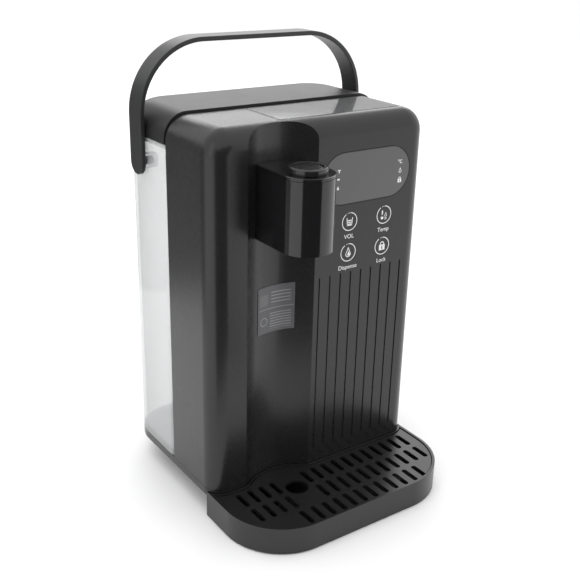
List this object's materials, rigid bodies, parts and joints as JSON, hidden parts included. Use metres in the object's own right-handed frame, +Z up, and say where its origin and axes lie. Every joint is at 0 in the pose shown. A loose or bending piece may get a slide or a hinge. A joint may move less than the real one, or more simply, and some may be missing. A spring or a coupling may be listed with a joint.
{
  "type": "countertop water dispenser",
  "caption": "Countertop water dispenser: black front housing with spout head, touch field and display, clear lift-off rear tank with carrying handle, and slotted drip tray.",
  "frame": {"origin": "middle of the whole object's plan, on the surface that it stands on", "axes": "+Z up, the front with the spout and the drip tray faces -Y, +X to the right seen from the front"},
  "size_m": [0.1994, 0.2084, 0.347],
  "materials": {
    "body_black": "satin",
    "gloss_black": "gloss",
    "button_grey": "gloss",
    "handle_grey": "satin",
    "tray_black": "satin",
    "window_black": "gloss",
    "label_silver": "satin",
    "film_clear": "gloss",
    "tank_clear": "gloss",
    "inner_white": "satin",
    "inner_grey": "satin",
    "rubber_black": "matte",
    "silicone": "matte",
    "steel": "brushed",
    "board_green": "satin",
    "module_dark": "satin"
  },
  "bodies": {
    "main": {"front_housing": "body_black", "rear_bulkhead": "body_black", "display_window": "window_black", "display_module": "module_dark", "control_board": "board_green", "touch_springs": "inner_grey", "info_label": "label_silver", "top_film": "film_clear", "spout_head": "gloss_black", "spout_cap": "gloss_black", "button_collar": "button_grey", "button_guide": "inner_white", "button_spring": "steel", "micro_switch": "module_dark", "nozzle": "gloss_black", "nozzle_sieve": "steel", "base_pan": "body_black", "base_cover": "body_black", "rubber_feet": "rubber_black", "cord_gland": "rubber_black", "dock_socket": "inner_grey", "dock_seal": "silicone", "dock_screen": "steel", "pump_head": "inner_white", "pump_motor": "steel", "pump_mount": "rubber_black", "flow_meter": "inner_white", "heater_tube": "steel", "heater_caps": "inner_grey", "heater_clips": "steel", "thermal_cutouts": "module_dark", "temperature_probe": "steel", "hose_suction": "silicone", "hose_pump": "silicone", "hose_heater": "silicone", "hose_outlet": "silicone", "power_board": "board_green", "power_parts": "module_dark", "board_spacers": "inner_white", "board_screws": "steel", "base_screws": "steel", "cover_screws": "steel", "panel_screws": "steel", "head_screws": "steel"},
    "button": {"push_button": "button_grey"},
    "tank": {"tank": "tank_clear", "valve_body": "inner_white", "valve_nut": "inner_white", "valve_guide": "inner_white", "valve_spring": "steel"},
    "stem": {"valve_stem": "inner_white", "valve_seal": "silicone"},
    "lid": {"tank_lid": "body_black", "lid_seal": "silicone"},
    "handle": {"carry_handle": "handle_grey", "handle_pins": "handle_grey"},
    "tray": {"drip_tray": "tray_black"},
    "grille": {"drip_grille": "tray_black"}
  },
  "joints": [
    {"name": "tank_lift", "type": "slide", "parent": "main", "child": "tank", "axis": [0, 0, 1], "range_m": [0, 0.28]},
    {"name": "valve_drop", "type": "slide", "parent": "tank", "child": "stem", "axis": [0, 0, 1], "range_m": [-0.0029, 0], "deforming": ["valve_spring"]},
    {"name": "lid_lift", "type": "slide", "parent": "tank", "child": "lid", "axis": [0, 0, 1], "range_m": [0, 0.012]},
    {"name": "handle_pivot", "type": "hinge", "parent": "tank", "child": "handle", "pos_m": [0, 0.06325, 0.2595], "axis": [1, 0, 0], "range_deg": [-110, 20]},
    {"name": "tray_slide", "type": "slide", "parent": "main", "child": "tray", "axis": [0, -1, 0], "range_m": [0, 0.11]},
    {"name": "grille_lift", "type": "slide", "parent": "tray", "child": "grille", "axis": [0, 0, 1], "range_m": [0, 0.04]},
    {"name": "button_press", "type": "slide", "parent": "main", "child": "button", "axis": [0, 0, -1], "range_m": [0, 0.0025], "stiffness_N_per_m": 600, "springref_m": -0.002, "deforming": ["button_spring"]}
  ],
  "couplings": [
    {"joint": "valve_drop", "follows": "tank_lift", "ratio": -0.010357}
  ]
}
